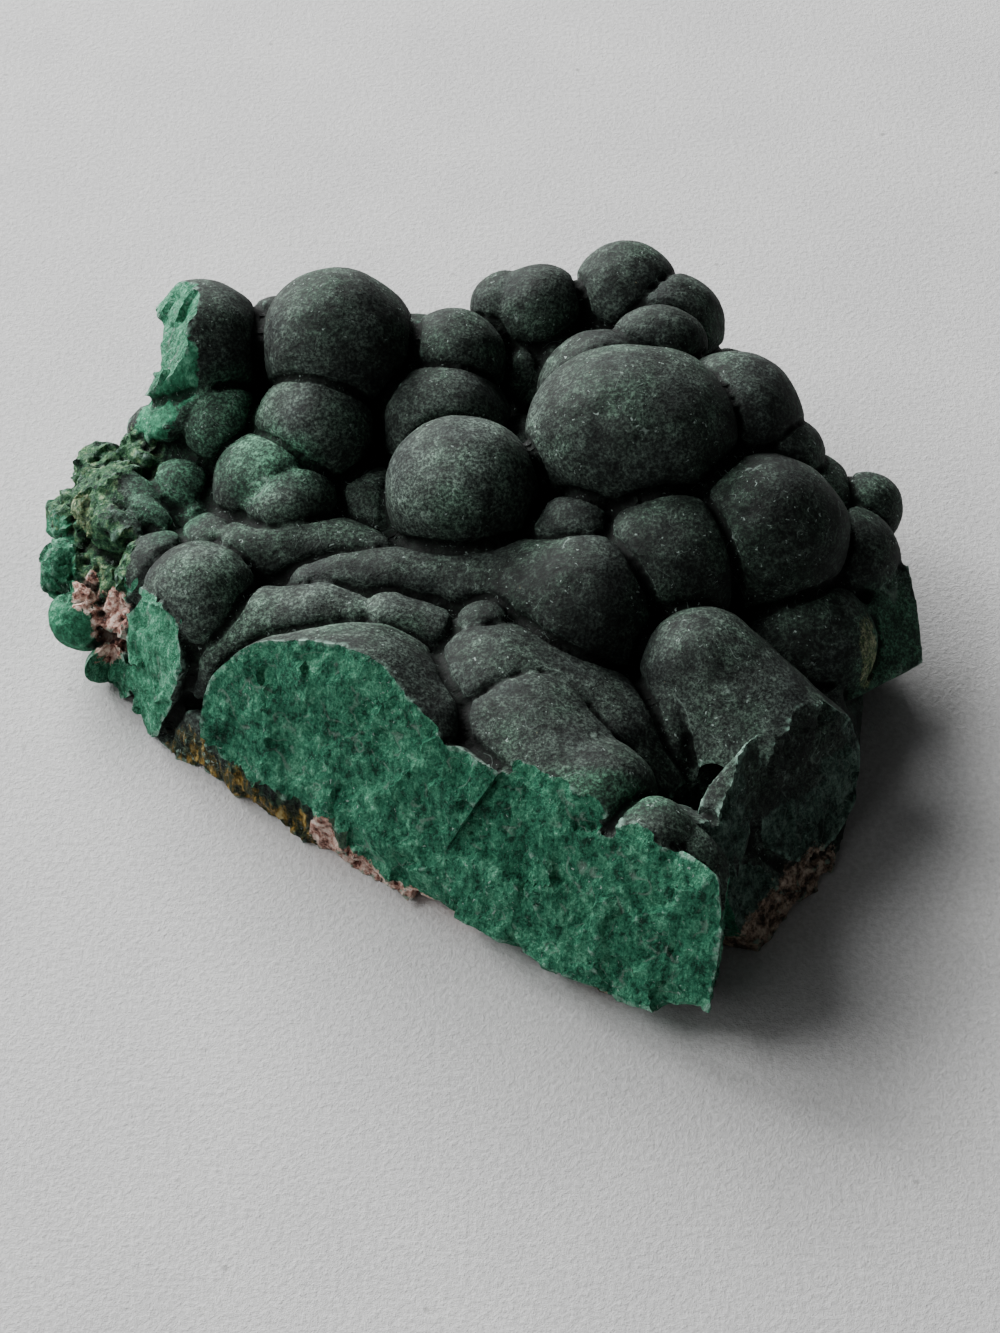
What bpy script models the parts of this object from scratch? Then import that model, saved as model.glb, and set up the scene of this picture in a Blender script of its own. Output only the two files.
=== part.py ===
"""Malachite specimen: a botryoidal crust, broken at its edges, on its thin rind of matrix.

One natural stone, grown as a single piece.  The crust is a family of domes that meet in sharp
creases.  Its front, left and right are broken faces, and brown matrix shows along the foot.
Design sizes are in millimetres, with z = 0 at the table and +Z up; MM turns them into metres.
"""
import math

import bmesh
import bpy
from mathutils import Euler, Matrix, Vector, noise

MM = 0.001

# Driving dimensions, in millimetres
GRAIN = 1.0             # spacing of the mesh that joins the domes and the rock into one body
SKIN_WAVE = 0.25        # how far the crust's skin strays from true domes
SKIN_WAVELENGTH = 7.0
BREAK_ROUGHNESS = 0.45  # relief of the broken faces
BREAK_WAVELENGTH = 4.0
BREAK_STEP = 2.0        # spacing of the points that carry that relief
LEAN_RATIO = 0.096      # share of the joined mesh that is kept before the breaks
BASE_DEPTH = 12.0       # depth of the block that levels the underside

COPPER_GREEN = (0.035, 0.075, 0.062, 1.0)

# Each dome: x, y, z of its centre and its radius, then optional stretches
# (long and wide are along and across its yaw in degrees, tall is upright).
BACK_CREST = (
    dict(at=(-33.5, 37.5, 23.0), r=8.6),
    dict(at=(-17.0, 36.5, 24.5), r=9.4),
    dict(at=(-24.5, 40.5, 22.5), r=5.0),
    dict(at=(-3.5, 36.0, 23.0), r=6.2),
    dict(at=(3.0, 44.5, 23.8), r=4.6),
    dict(at=(6.5, 43.5, 24.0), r=5.8),
    dict(at=(17.2, 46.0, 24.5), r=6.5),
    dict(at=(22.0, 42.0, 22.5), r=6.8),
    dict(at=(20.5, 36.0, 25.5), r=4.8, long=1.2, wide=0.9),
    dict(at=(5.0, 37.5, 20.0), r=3.6),
    dict(at=(14.0, 31.5, 22.0), r=7.6),
)
BACK_SKIRT = (
    dict(at=(12.0, 38.0, 16.0), r=9.0),
    dict(at=(-27.0, 39.0, 14.0), r=9.0),
    dict(at=(-9.0, 40.0, 14.0), r=9.5),
    dict(at=(28.0, 36.0, 13.0), r=9.0),
    dict(at=(1.0, 42.0, 11.0), r=8.0),
)
RIGHT_SHOULDER = (
    dict(at=(17.2, 22.5, 25.0), r=12.3, wide=0.86, tall=0.74),
    dict(at=(29.0, 27.0, 21.5), r=8.4),
    dict(at=(33.5, 23.0, 19.0), r=6.3),
    dict(at=(32.0, 12.5, 18.0), r=9.6),
    dict(at=(44.5, 20.5, 14.0), r=4.6),
    dict(at=(41.5, 13.5, 12.5), r=6.8),
    dict(at=(36.0, 20.0, 13.0), r=8.5),
    dict(at=(36.5, 4.0, 9.0), r=8.6),
)
LEFT_FLANK = (
    dict(at=(-30.5, 29.0, 19.5), r=5.4),
    dict(at=(-19.5, 27.0, 20.5), r=7.3),
    dict(at=(-24.5, 20.5, 17.5), r=6.7),
    dict(at=(-22.2, 16.6, 17.5), r=5.9),
    dict(at=(-31.5, 5.5, 14.5), r=7.2),
    dict(at=(-36.5, 10.5, 13.5), r=5.2),
    dict(at=(-35.0, 22.5, 14.5), r=4.6),
    dict(at=(-44.8, 27.0, 12.5), r=4.2),
    dict(at=(-47.6, 23.0, 10.0), r=4.0),
    dict(at=(-48.3, 17.0, 7.5), r=4.0),
    dict(at=(-46.3, 11.0, 6.0), r=4.2),
    dict(at=(-42.8, 5.0, 3.5), r=3.4),
    dict(at=(-41.0, 20.0, 13.0), r=5.6, long=1.5, yaw=-40.0),
    dict(at=(-41.3, 16.2, 16.4), r=1.8, long=2.3, yaw=-41.0),
    dict(at=(-38.7, 17.2, 17.0), r=1.8, long=2.0, yaw=-38.0),
    dict(at=(-29.0, 12.0, 10.0), r=9.0),
    dict(at=(-33.0, 20.0, 9.0), r=8.0),
)
MIDDLE_DOMES = (
    dict(at=(-4.5, 28.5, 19.5), r=8.0),
    dict(at=(-2.3, 16.0, 21.5), r=8.9),
    dict(at=(-12.0, 19.0, 12.0), r=8.0),
    dict(at=(5.0, 26.0, 13.0), r=8.0),
    dict(at=(10.5, 10.5, 19.0), r=5.6),
    dict(at=(21.0, 8.0, 18.0), r=8.6),
    dict(at=(11.0, 2.0, 17.0), r=8.8),
)
FRONT_LOBES = (
    dict(at=(0.6, -2.1, 18.0), r=3.8),
    dict(at=(12.0, -22.0, 11.0), r=7.8),
    dict(at=(17.0, -5.0, 7.0), r=8.0),
    dict(at=(17.7, -29.6, 17.0), r=4.8),
    dict(at=(18.0, -31.5, 10.5), r=9.8),
)
DOMES = BACK_CREST + BACK_SKIRT + RIGHT_SHOULDER + LEFT_FLANK + MIDDLE_DOMES + FRONT_LOBES

# Lobes drawn out into ridges, each a run of x, y, z and radius from end to end.
RIDGES = (
    ((-27.0, 11.1, 15.6, 4.6), (-20.8, 11.5, 15.8, 5.2), (-15.6, 10.8, 15.6, 5.0),
     (-10.7, 8.7, 15.2, 4.5)),
    ((-21.3, 4.8, 15.8, 2.5), (-18.4, 5.1, 16.2, 4.0), (-14.8, 5.7, 16.5, 4.4), (-9.8, 5.8, 16.8, 4.6),
     (-4.2, 5.9, 17.0, 4.8), (2.6, 4.7, 17.0, 5.8), (10.7, 2.2, 16.8, 8.7)),
    ((-31.0, -0.6, 9.0, 2.9), (-28.1, 0.1, 11.8, 4.7), (-23.4, 1.4, 15.2, 4.7),
     (-17.4, 1.0, 16.4, 4.7), (-13.7, -0.4, 16.4, 4.4)),
    ((-10.4, -0.5, 16.8, 4.4), (-5.7, -2.0, 16.6, 4.0)),
    ((-19.9, -12.8, 11.0, 12.7), (-13.8, -12.6, 12.0, 13.3), (-10.1, -15.2, 12.0, 11.5)),
    ((2.0, -8.5, 13.5, 9.4), (12.9, -13.5, 11.5, 8.3), (17.2, -17.4, 9.0, 6.7)),
    ((4.8, -14.7, 13.8, 9.1), (9.6, -22.4, 14.0, 8.2), (12.5, -23.6, 16.3, 6.3)),
    ((24.2, -6.0, 16.5, 7.0), (32.0, -15.1, 9.5, 10.0)),
    ((23.9, -6.6, 15.5, 6.6), (20.4, -12.5, 11.0, 6.1)),
)

# Rock that fills the specimen under its domes, each block by the corners of its hull.
BODY = (
    (-36.5, -3.0, 0.0), (-27.0, -13.0, 0.0), (-16.0, -18.5, 0.0), (2.0, -31.0, 0.0), (11.5, -37.0, 0.0),
    (20.0, -38.5, 0.0), (24.5, -37.5, 0.0), (26.0, -31.5, 0.0), (39.0, -21.0, 0.5), (43.0, -7.0, 0.5),
    (44.5, 5.0, 1.5), (34.0, 20.0, 0.0), (26.0, 30.0, 0.0), (8.0, 35.0, 0.0), (-18.0, 34.0, 0.0),
    (-32.0, 22.0, 0.0), (37.0, 24.0, 3.5), (28.0, 35.0, 3.5), (9.0, 41.0, 4.0), (-20.0, 40.0, 4.0),
    (-37.0, 27.0, 4.0), (-33.0, 0.0, 8.0), (-26.0, -6.0, 8.0), (-14.0, -11.0, 13.0), (9.0, -24.0, 14.0),
    (23.5, -34.0, 11.0), (29.0, -18.0, 9.0), (40.0, -4.0, 11.0), (43.0, 12.0, 12.0), (35.0, 26.0, 14.0),
    (12.0, 41.0, 16.0), (-20.0, 39.0, 16.0), (-34.0, 30.0, 17.0),
)
LEFT_LEDGE = (
    (-50.5, 15.5, 9.0), (-50.0, 23.5, 12.0), (-46.5, 28.5, 14.0), (-41.0, 29.0, 18.5), (-34.0, 28.0, 19.5),
    (-36.0, 12.0, 14.0), (-41.0, 6.0, 9.0), (-48.0, 9.5, 7.5), (-47.0, 11.0, 2.5), (-46.0, 24.0, 3.5),
    (-38.0, 30.0, 5.0), (-34.0, 5.0, 0.0), (-34.0, 25.0, 0.0),
)
UPPER_LEFT_SHOULDER = (
    (-31.0, 30.0, 26.0), (-36.0, 34.0, 25.0), (-41.5, 34.0, 19.0), (-42.5, 31.0, 17.0), (-41.5, 27.5, 15.0),
    (-37.0, 26.0, 22.0), (-32.0, 26.0, 22.0), (-36.0, 35.0, 13.0), (-34.0, 26.0, 10.0), (-30.0, 34.0, 12.0),
)
LEFT_FOOT = (
    (-39.2, 4.4, 18.3), (-41.5, 5.3, 12.8), (-41.6, 2.2, 6.0), (-41.6, 0.2, 2.0), (-39.6, -3.0, 0.5),
    (-38.0, -4.6, 2.0), (-36.8, -4.9, 6.2), (-34.6, -4.6, 13.6), (-35.0, -1.8, 18.0), (-36.4, 1.2, 19.6),
    (-33.5, 8.0, 16.0), (-35.0, 9.0, 8.0), (-35.0, 6.0, 0.0), (-33.0, 0.0, 0.0), (-31.0, -1.0, 6.0),
    (-29.0, 0.0, 13.0), (-30.0, 3.0, 17.0),
)
RIGHT_LEDGE = (
    (50.8, 3.5, 6.5), (49.0, 12.0, 14.0), (42.0, 4.0, 14.0), (41.5, -3.5, 8.5), (47.0, 5.0, 3.0),
    (38.0, 0.0, 0.0), (38.0, 20.0, 2.0), (46.0, 15.0, 4.0),
)
CORNER_FIN = (
    (29.0, -19.2, 22.5), (27.5, -20.6, 22.2), (25.6, -22.8, 20.0), (23.6, -23.2, 18.0), (22.4, -25.5, 16.5),
    (22.2, -27.5, 15.0), (25.0, -30.5, 15.0), (27.4, -23.5, 20.0), (26.7, -26.5, 19.0), (25.7, -28.0, 17.5),
    (30.2, -21.0, 16.5), (28.3, -26.0, 13.0), (26.5, -31.0, 6.0), (30.0, -22.0, 8.0), (23.0, -30.0, 8.0),
)
FRONT_CRUST = (
    (-5.0, -20.0, 21.5), (2.8, -26.0, 20.2), (7.1, -28.2, 20.3), (12.2, -31.2, 20.4), (21.0, -36.5, 16.5),
    (25.5, -40.0, 12.0), (-20.0, -16.0, 10.0), (-22.0, -17.5, 5.0), (-18.0, -20.5, 2.0), (-8.0, -29.0, 1.0),
    (4.0, -37.5, 1.0), (12.0, -42.5, 1.0), (25.5, -45.0, 4.0), (26.0, -31.0, 0.0), (-14.0, -7.0, 14.0),
    (0.0, -12.0, 16.0), (7.0, -20.5, 15.5), (15.0, -28.0, 14.5), (23.0, -33.0, 12.0), (0.0, -10.0, 0.0),
)
CORNER_SLAB = (
    (15.4, -32.8, 20.0), (17.9, -33.1, 22.1), (19.9, -33.9, 22.4), (21.9, -35.3, 21.9), (23.9, -36.8, 21.0),
    (25.5, -45.5, 5.0), (15.0, -44.0, 2.5), (24.5, -36.0, 3.0), (15.0, -34.0, 3.0), (15.5, -30.0, 16.0),
    (21.0, -31.5, 17.0), (24.8, -33.5, 15.5),
)
FOOT_ROCK = (
    (-38.0, -2.5, 0.0), (-33.3, -8.3, 0.0), (-29.3, -11.3, 0.0), (-22.0, -15.5, 0.0), (-15.5, -19.5, 0.0),
    (-10.0, -23.0, 0.0), (-4.5, -26.7, 0.0), (-1.5, -28.5, 0.0), (-35.5, -1.5, 5.0), (-31.5, -6.0, 8.5),
    (-28.0, -9.0, 8.0), (-24.0, -12.5, 6.0), (-17.0, -17.5, 4.5), (-10.0, -22.5, 3.0), (-5.0, -26.0, 2.5),
    (-20.0, 0.0, 0.0), (-20.0, 0.0, 8.0),
)
BLOCKS = (
    BODY,
    LEFT_LEDGE,
    UPPER_LEFT_SHOULDER,
    LEFT_FOOT,
    RIGHT_LEDGE,
    CORNER_FIN,
    FRONT_CRUST,
    CORNER_SLAB,
    FOOT_ROCK,
)

# Broken faces: a point on the face, the heading of its outward normal (degrees from +X),
# the lift of that normal above level, and the size of the block that takes the stone away.
BREAKS = (
    dict(name="front_break", at=(-8.7, -25.6, 3.5), heading=-124.0, lift=25.0, width=96.0, height=90.0),
    dict(name="front_step", at=(13.4, -37.0, 9.5), heading=-124.0, lift=30.5, roll=-16.0, width=40.0,
         height=50.0),
    dict(name="front_right_break", at=(10.9, -39.5, 2.3), heading=-118.0, lift=26.0, width=80.0, height=90.0),
    dict(name="foot_wall", at=(-27.3, -11.2, 3.0), heading=-125.6, lift=-2.0, width=34.0, height=24.0),
    dict(name="front_undercut", at=(11.5, -38.0, 2.8), heading=-122.5, lift=-41.0, width=46.0, height=30.0),
    dict(name="corner_undercut", at=(16.4, -41.3, 4.3), heading=-90.9, lift=-40.0, width=60.0, height=30.0),
    dict(name="right_end_break", at=(24.6, -37.5, 8.0), heading=-10.0, lift=0.0, width=13.0, height=40.0,
         depth=20.0),
    dict(name="right_wall_break", at=(37.9, -18.6, 6.0), heading=-40.5, lift=22.5, width=36.0, height=50.0,
         depth=15.0),
    dict(name="back_break", at=(0.0, 46.5, 14.0), heading=92.0, lift=-22.0, width=110.0, height=40.0),
    dict(name="back_left_break", at=(-33.5, 42.0, 12.0), heading=126.0, lift=-20.0, width=40.0, height=34.0),
    dict(name="back_right_break", at=(34.5, 38.5, 10.0), heading=46.0, lift=-20.0, width=40.0, height=30.0),
    dict(name="upper_left_break", at=(-33.0, 37.0, 31.0), heading=185.0, lift=38.0, width=22.0, height=36.0,
         depth=14.0),
    dict(name="upper_left_undercut", at=(-37.0, 37.6, 20.0), heading=182.0, lift=-15.0, width=11.5,
         height=12.0, depth=10.0),
    dict(name="lower_left_break", at=(-35.4, 1.8, 18.5), heading=214.0, lift=15.0, width=16.0, height=44.0,
         depth=12.0),
)
# Deep folds: each a run of x, y, z and radius from end to end.
HOLLOWS = (
    dict(name="corner_pocket",
         run=((21.6, -28.0, 15.5, 1.5), (23.1, -21.9, 13.0, 2.8), (26.7, -18.1, 14.0, 2.6))),
)


def clear_scene():
    """Remove everything that is in the scene."""
    for obj in list(bpy.data.objects):
        bpy.data.objects.remove(obj, do_unlink=True)
    for group in list(bpy.data.collections):
        bpy.data.collections.remove(group)


def new_collection(name):
    """A collection linked to the scene."""
    group = bpy.data.collections.new(name)
    bpy.context.scene.collection.children.link(group)
    return group


def stone_material():
    """The crust's own dark green."""
    mat = bpy.data.materials.new("malachite")
    mat.use_nodes = True
    shader = mat.node_tree.nodes["Principled BSDF"]
    shader.inputs["Base Color"].default_value = COPPER_GREEN
    shader.inputs["Roughness"].default_value = 0.75
    mat.diffuse_color = COPPER_GREEN
    return mat


def mesh_object(name, bm, group):
    """Turn a bmesh into an object in the given collection."""
    mesh = bpy.data.meshes.new(name)
    bm.to_mesh(mesh)
    bm.free()
    obj = bpy.data.objects.new(name, mesh)
    group.objects.link(obj)
    return obj


def add_dome(bm, at, r, long=1.0, wide=1.0, tall=1.0, yaw=0.0):
    """One rounded growth: a sphere stretched along, across and upright."""
    place = Matrix.Translation(Vector(at) * MM)
    turn = Matrix.Rotation(math.radians(yaw), 4, "Z")
    size = Matrix.Diagonal((long, wide, tall, 1.0))
    bmesh.ops.create_icosphere(bm, subdivisions=4, radius=r * MM, matrix=place @ turn @ size)


def add_block(bm, corners):
    """One convex block of rock spanning the given corners."""
    verts = [bm.verts.new(Vector(corner) * MM) for corner in corners]
    hull = bmesh.ops.convex_hull(bm, input=verts)
    loose = {v for v in hull["geom_interior"] if isinstance(v, bmesh.types.BMVert)}
    bmesh.ops.delete(bm, geom=list(loose), context="VERTS")


def ball_corners(x, y, z, r):
    """Points spread evenly over a ball."""
    ball = bmesh.new()
    bmesh.ops.create_icosphere(ball, subdivisions=3, radius=r, matrix=Matrix.Translation((x, y, z)))
    corners = [v.co.copy() for v in ball.verts]
    ball.free()
    return corners


def add_ridge(bm, run):
    """A drawn-out lobe: a rounded hull from each ball of the run to the next."""
    for first, second in zip(run, run[1:]):
        add_block(bm, ball_corners(*first) + ball_corners(*second))


def wave(point, length, seed):
    """Smooth noise of about -1 to 1 with the given wavelength in millimetres."""
    shift = Vector((seed, 2.0 * seed, 3.0 * seed))
    return noise.noise(point / (length * MM) + shift)


def relief(point):
    """Height pattern of a broken face: hackly, with a broad swell under it."""
    return wave(point, BREAK_WAVELENGTH, 4.1) + 0.6 * wave(point, 3.0 * BREAK_WAVELENGTH, 9.3)


def overlapping_shells():
    """All domes and blocks as closed shells that run into each other."""
    bm = bmesh.new()
    for dome in DOMES:
        add_dome(bm, **dome)
    for run in RIDGES:
        add_ridge(bm, run)
    for corners in BLOCKS:
        add_block(bm, corners)
    for vert in bm.verts:
        outward = vert.normal.copy()
        vert.co += outward * wave(vert.co, SKIN_WAVELENGTH, 1.7) * SKIN_WAVE * MM
    return bm


def face_frame(at, heading, lift, roll):
    """Placement whose local +X is the outward normal of a broken face."""
    turn = Euler((math.radians(roll), -math.radians(lift), math.radians(heading)), "XYZ")
    return Matrix.Translation(Vector(at) * MM) @ turn.to_matrix().to_4x4()


def break_sheet(width, height):
    """A fine upright grid facing along +X."""
    bm = bmesh.new()
    upright = Matrix.Rotation(math.radians(90.0), 4, "Y")
    size = Matrix.Diagonal((height * MM, width * MM, 1.0, 1.0))
    rows = max(2, round(height / BREAK_STEP))
    columns = max(2, round(width / BREAK_STEP))
    bmesh.ops.create_grid(bm, x_segments=rows, y_segments=columns, size=0.5, matrix=upright @ size)
    return bm


def break_block(group, name, at, heading, lift, width, height, depth=40.0, roll=0.0):
    """A block whose near side carries the relief of a broken face."""
    bm = break_sheet(width, height)
    place = face_frame(at, heading, lift, roll)
    for vert in bm.verts:
        if not vert.is_boundary:
            vert.co.x += relief(place @ vert.co) * BREAK_ROUGHNESS * MM
    grown = bmesh.ops.extrude_face_region(bm, geom=bm.faces[:])
    for vert in grown["geom"]:
        if isinstance(vert, bmesh.types.BMVert):
            vert.co.x = depth * MM
    bmesh.ops.recalc_face_normals(bm, faces=bm.faces)
    bmesh.ops.transform(bm, matrix=place, verts=bm.verts)
    return cutter_object(name, bm, group)


def deep_folds(group, name, run):
    """The rounded voids of a drawn-out fold, one from each ball of the run to the next."""
    cutters = []
    for first, second in zip(run, run[1:]):
        bm = bmesh.new()
        add_block(bm, ball_corners(*first) + ball_corners(*second))
        cutters.append(cutter_object(name, bm, group))
    return cutters


def base_block(group):
    """The block under the table line that leaves the flat underside."""
    bm = bmesh.new()
    size = Matrix.Diagonal((160.0 * MM, 160.0 * MM, BASE_DEPTH * MM, 1.0))
    down = Matrix.Translation((0.0, 0.0, -0.5 * BASE_DEPTH * MM))
    bmesh.ops.create_cube(bm, size=1.0, matrix=down @ size)
    return cutter_object("resting_cut", bm, group)


def cutter_object(name, bm, group):
    """A cutting shape: kept out of the render and drawn as wire."""
    cutter = mesh_object(name, bm, group)
    cutter.hide_render = True
    cutter.display_type = "WIRE"
    return cutter


def take_away(obj, cutter):
    """Remove a cutter's volume from the stone."""
    cut = obj.modifiers.new(cutter.name, "BOOLEAN")
    cut.operation = "DIFFERENCE"
    cut.solver = "EXACT"
    cut.object = cutter


def join_shells(obj):
    """Grow the overlapping shells into one skin."""
    joined = obj.modifiers.new("grown_together", "REMESH")
    joined.mode = "VOXEL"
    joined.voxel_size = GRAIN * MM
    joined.adaptivity = 0.0
    joined.use_smooth_shade = True


def thin_out(obj):
    """Keep the corners and creases and drop spare triangles."""
    lean = obj.modifiers.new("lean_mesh", "DECIMATE")
    lean.decimate_type = "COLLAPSE"
    lean.ratio = LEAN_RATIO
    lean.use_collapse_triangulate = True


def main():
    clear_scene()
    stone_group = new_collection("malachite_specimen_parts")
    cutter_group = new_collection("cutters")
    stone = mesh_object("malachite_specimen", overlapping_shells(), stone_group)
    stone.data.materials.append(stone_material())
    join_shells(stone)
    thin_out(stone)
    for face in BREAKS:
        take_away(stone, break_block(cutter_group, **face))
    for hollow in HOLLOWS:
        for cutter in deep_folds(cutter_group, **hollow):
            take_away(stone, cutter)
    take_away(stone, base_block(cutter_group))


main()
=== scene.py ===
"""Finished look of the malachite specimen: fine mesh, materials, table, light and camera.

Sizes in the tables are in millimetres in the part's own frame; MM turns them into metres.
"""
import itertools
import math

import bmesh
import bpy
import numpy as np
from mathutils import Euler, Matrix, Vector, noise


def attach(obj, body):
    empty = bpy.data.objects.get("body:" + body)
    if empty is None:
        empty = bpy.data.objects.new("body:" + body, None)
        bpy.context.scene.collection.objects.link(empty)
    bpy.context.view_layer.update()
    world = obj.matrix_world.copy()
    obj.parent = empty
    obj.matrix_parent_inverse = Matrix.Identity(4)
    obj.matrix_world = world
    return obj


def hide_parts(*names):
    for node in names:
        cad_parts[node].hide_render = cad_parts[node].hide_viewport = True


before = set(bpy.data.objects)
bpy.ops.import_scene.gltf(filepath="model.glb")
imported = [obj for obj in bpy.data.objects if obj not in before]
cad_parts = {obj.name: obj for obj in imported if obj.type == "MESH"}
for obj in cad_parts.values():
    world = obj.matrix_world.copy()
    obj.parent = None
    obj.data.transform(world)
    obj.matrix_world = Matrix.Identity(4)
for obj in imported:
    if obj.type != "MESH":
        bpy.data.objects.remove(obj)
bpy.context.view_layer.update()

MM = 0.001

# Fineness of the mesh.
GRAIN = 0.4  # spacing of the mesh that joins domes and rock
TRIANGLES = 160000  # triangles kept before the breaks are cut
BREAK_STEP = 0.5  # spacing of the points on the broken faces
BASE_STEPS = 90  # squares along each side of the underside's sheet
DOME_DETAIL = 5  # subdivisions of a dome or of a ridge's ball
CRUMB = 200  # a loose bit with fewer vertices is dropped
SHARP_ANGLE = 48.0  # edges sharper than this many degrees stay sharp

# Relief of the grown skin.
SKIN_WAVE = 0.25  # swell of each dome before they grow together
SKIN_WAVELENGTH = 7.0
DENTS = 0.26  # broad dents in the crust, and fine ones
FINE_DENTS = 0.07
CREASE_DEPTH = 0.5  # how far the folds between domes are drawn in
CREASE_BEND = (0.04, 0.30)  # bending, per millimetre, where a fold starts and is full

# Relief of the porous ledge and of the matrix rock.
POROUS_CHIPS = 0.42
POROUS_FINE_CHIPS = 0.24
POROUS_GRAIN = 0.2
PIT_DEPTH = 0.5
ROSY_CALM = 0.6  # share of the porous relief that pink rock goes without
ROCK_CHIPS = 0.40
ROCK_GRAIN = 0.35

# Relief of the broken faces.
BREAK_ROUGHNESS = 0.45  # hackly relief with its broad swell
BREAK_WAVELENGTH = 4.0
BREAK_SWELL = 0.6  # share of the swell in it
FACETS = 0.21
FINE_FACETS = 0.09
FACET_GRAIN = 0.10
GROOVES = {"foot_wall": 0.55, "right_wall_break": 0.3}  # upright grooves on the fibrous faces
BLOCK_DEPTH = 40.0  # of a cutter, where its row gives no other

# The underside and the floor it rests on.
BASE_SIZE = 140.0
BASE_DEPTH = 12.0
BASE_RISE = 0.9  # how far the underside stands clear at most
FLOOR_HALF = 1.5  # metres

# Which broken faces share a tone, and which faces are no fresh break.
FACE_TONES = {
    "pale": ("upper_left_break", "lower_left_break", "upper_left_undercut"),
    "foot": ("foot_wall",),
    "dusky": ("right_wall_break",),
    "bottom": ("resting_cut",),
}
GROWN_FACES = ("crust", "hollow")
# Brown rock low down at the back: fading in as minus the height, and as y, pass these.
BACK_ROCK_HEIGHT = (-9.0, -4.0)
BACK_ROCK_PLACE = (20.0, 32.0)

# Camera: metres and degrees, but for the target in millimetres.
CAMERA_DISTANCE = 0.3
CAMERA_ELEVATION = 50.0
CAMERA_TARGET = (2.0, 5.0, 4.0)
FOCAL_LENGTH = 70.0
SENSOR_HEIGHT = 36.0

# Lamps: heading and elevation in degrees, distance and size in metres, power in watts.
LIGHTS = (
    dict(name="window", heading=124.0, elevation=25.5, distance=1.4, width=1.15, height=0.5,
         power=60.0),
    dict(name="left_window", heading=170.0, elevation=42.0, distance=1.4, width=0.7, height=0.6,
         power=14.0),
    dict(name="room", heading=208.0, elevation=35.0, distance=1.5, width=1.5, height=1.0,
         power=4.5),
)
LIGHT_AIM = (0.0, 0.0, 0.01)
ROOM_GLOW = 0.045

BACK_CREST = (
    dict(at=(-33.5, 37.5, 23.0), r=8.6),
    dict(at=(-17.0, 36.5, 24.5), r=9.4),
    dict(at=(-24.5, 40.5, 22.5), r=5.0),
    dict(at=(-3.5, 36.0, 23.0), r=6.2),
    dict(at=(3.0, 44.5, 23.8), r=4.6),
    dict(at=(6.5, 43.5, 24.0), r=5.8),
    dict(at=(17.2, 46.0, 24.5), r=6.5),
    dict(at=(22.0, 42.0, 22.5), r=6.8),
    dict(at=(20.5, 36.0, 25.5), r=4.8, long=1.2, wide=0.9),
    dict(at=(5.0, 37.5, 20.0), r=3.6),
    dict(at=(14.0, 31.5, 22.0), r=7.6),
)
BACK_SKIRT = (
    dict(at=(12.0, 38.0, 16.0), r=9.0),
    dict(at=(-27.0, 39.0, 14.0), r=9.0),
    dict(at=(-9.0, 40.0, 14.0), r=9.5),
    dict(at=(28.0, 36.0, 13.0), r=9.0),
    dict(at=(1.0, 42.0, 11.0), r=8.0),
)
RIGHT_SHOULDER = (
    dict(at=(17.2, 22.5, 25.0), r=12.3, wide=0.86, tall=0.74),
    dict(at=(29.0, 27.0, 21.5), r=8.4),
    dict(at=(33.5, 23.0, 19.0), r=6.3),
    dict(at=(32.0, 12.5, 18.0), r=9.6),
    dict(at=(44.5, 20.5, 14.0), r=4.6),
    dict(at=(41.5, 13.5, 12.5), r=6.8),
    dict(at=(36.0, 20.0, 13.0), r=8.5),
    dict(at=(36.5, 4.0, 9.0), r=8.6),
)
LEFT_FLANK = (
    dict(at=(-30.5, 29.0, 19.5), r=5.4),
    dict(at=(-19.5, 27.0, 20.5), r=7.3),
    dict(at=(-24.5, 20.5, 17.5), r=6.7),
    dict(at=(-22.2, 16.6, 17.5), r=5.9),
    dict(at=(-31.5, 5.5, 14.5), r=7.2),
    dict(at=(-36.5, 10.5, 13.5), r=5.2),
    dict(at=(-35.0, 22.5, 14.5), r=4.6),
    dict(at=(-44.8, 27.0, 12.5), r=4.2),
    dict(at=(-47.6, 23.0, 10.0), r=4.0),
    dict(at=(-48.3, 17.0, 7.5), r=4.0),
    dict(at=(-46.3, 11.0, 6.0), r=4.2),
    dict(at=(-42.8, 5.0, 3.5), r=3.4),
    dict(at=(-41.0, 20.0, 13.0), r=5.6, long=1.5, yaw=-40.0),
    dict(at=(-41.3, 16.2, 16.4), r=1.8, long=2.3, yaw=-41.0),
    dict(at=(-38.7, 17.2, 17.0), r=1.8, long=2.0, yaw=-38.0),
    dict(at=(-29.0, 12.0, 10.0), r=9.0),
    dict(at=(-33.0, 20.0, 9.0), r=8.0),
)
MIDDLE_DOMES = (
    dict(at=(-4.5, 28.5, 19.5), r=8.0),
    dict(at=(-2.3, 16.0, 21.5), r=8.9),
    dict(at=(-12.0, 19.0, 12.0), r=8.0),
    dict(at=(5.0, 26.0, 13.0), r=8.0),
    dict(at=(10.5, 10.5, 19.0), r=5.6),
    dict(at=(21.0, 8.0, 18.0), r=8.6),
    dict(at=(11.0, 2.0, 17.0), r=8.8),
)
FRONT_LOBES = (
    dict(at=(0.6, -2.1, 18.0), r=3.8),
    dict(at=(12.0, -22.0, 11.0), r=7.8),
    dict(at=(17.0, -5.0, 7.0), r=8.0),
    dict(at=(17.7, -29.6, 17.0), r=4.8),
    dict(at=(18.0, -31.5, 10.5), r=9.8),
)
DOMES = BACK_CREST + BACK_SKIRT + RIGHT_SHOULDER + LEFT_FLANK + MIDDLE_DOMES + FRONT_LOBES

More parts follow.
